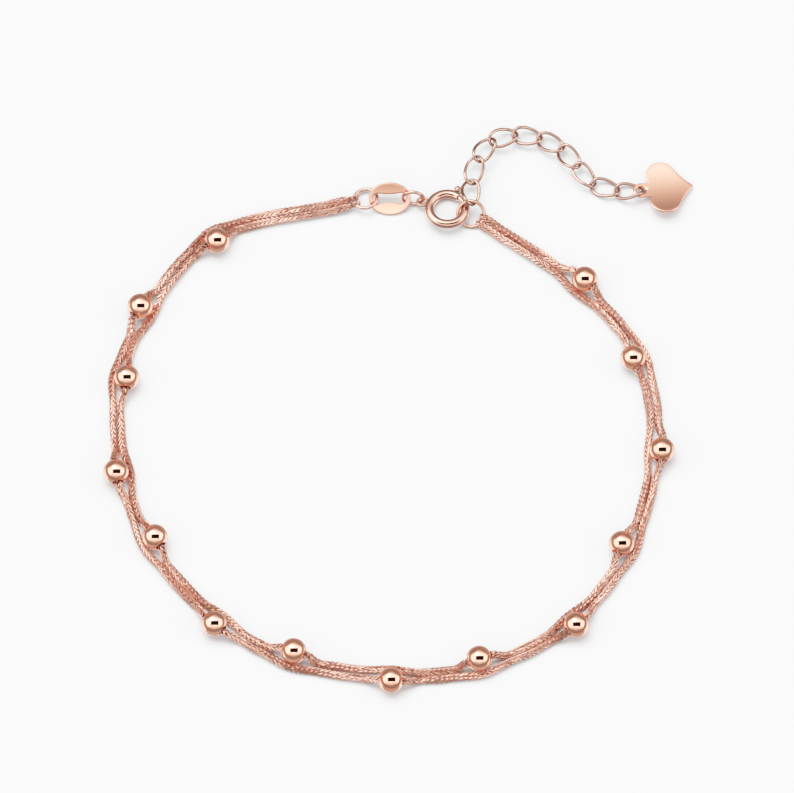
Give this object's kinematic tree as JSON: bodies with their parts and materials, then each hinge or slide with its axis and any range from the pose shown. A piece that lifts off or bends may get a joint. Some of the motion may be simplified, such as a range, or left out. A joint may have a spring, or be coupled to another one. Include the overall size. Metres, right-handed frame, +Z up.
{
  "type": "beaded bracelet",
  "caption": "Two fine chains side by side with round drilled beads threaded turn about, closed by a spring ring, with a short extender chain and a flat heart tag.",
  "frame": {"origin": "middle of the footprint, on the surface that the bracelet lies on", "axes": "+Z up from the surface, +Y from the wrist hollow towards the clasp, +X towards the heart tag's side"},
  "size_m": [0.0612, 0.0628, 0.0026],
  "materials": {
    "polished_metal": "mirror-polished rose gold plating",
    "chain_metal": "fine polished rose gold chain"
  },
  "bodies": {
    "bracelet": {"strand_outer": "chain_metal", "strand_inner": "chain_metal", "bead_01": "polished_metal", "bead_02": "polished_metal", "bead_03": "polished_metal", "bead_04": "polished_metal", "bead_05": "polished_metal", "bead_06": "polished_metal", "bead_07": "polished_metal", "bead_08": "polished_metal", "bead_09": "polished_metal", "bead_10": "polished_metal", "bead_11": "polished_metal", "bead_12": "polished_metal", "bead_13": "polished_metal", "bead_14": "polished_metal", "left_jump_ring": "polished_metal", "tag_link": "polished_metal", "connector_ring": "polished_metal", "spring_ring_body": "polished_metal", "right_jump_ring": "polished_metal", "extender_link_01": "polished_metal", "extender_link_02": "polished_metal", "extender_link_03": "polished_metal", "extender_link_04": "polished_metal", "extender_link_05": "polished_metal", "extender_link_06": "polished_metal", "extender_link_07": "polished_metal", "extender_link_08": "polished_metal", "extender_link_09": "polished_metal", "extender_link_10": "polished_metal", "heart_tag": "polished_metal"},
    "trigger": {"spring_ring_trigger": "polished_metal"}
  },
  "joints": [
    {"name": "trigger_slide", "type": "hinge", "parent": "bracelet", "child": "trigger", "pos_m": [0.00515, 0.02213, 0.00092], "axis": [0, 0.2164, 0.9763], "range_deg": [0, 42], "stiffness_Nm_per_rad": 0.001, "springref_deg": -28.65}
  ]
}
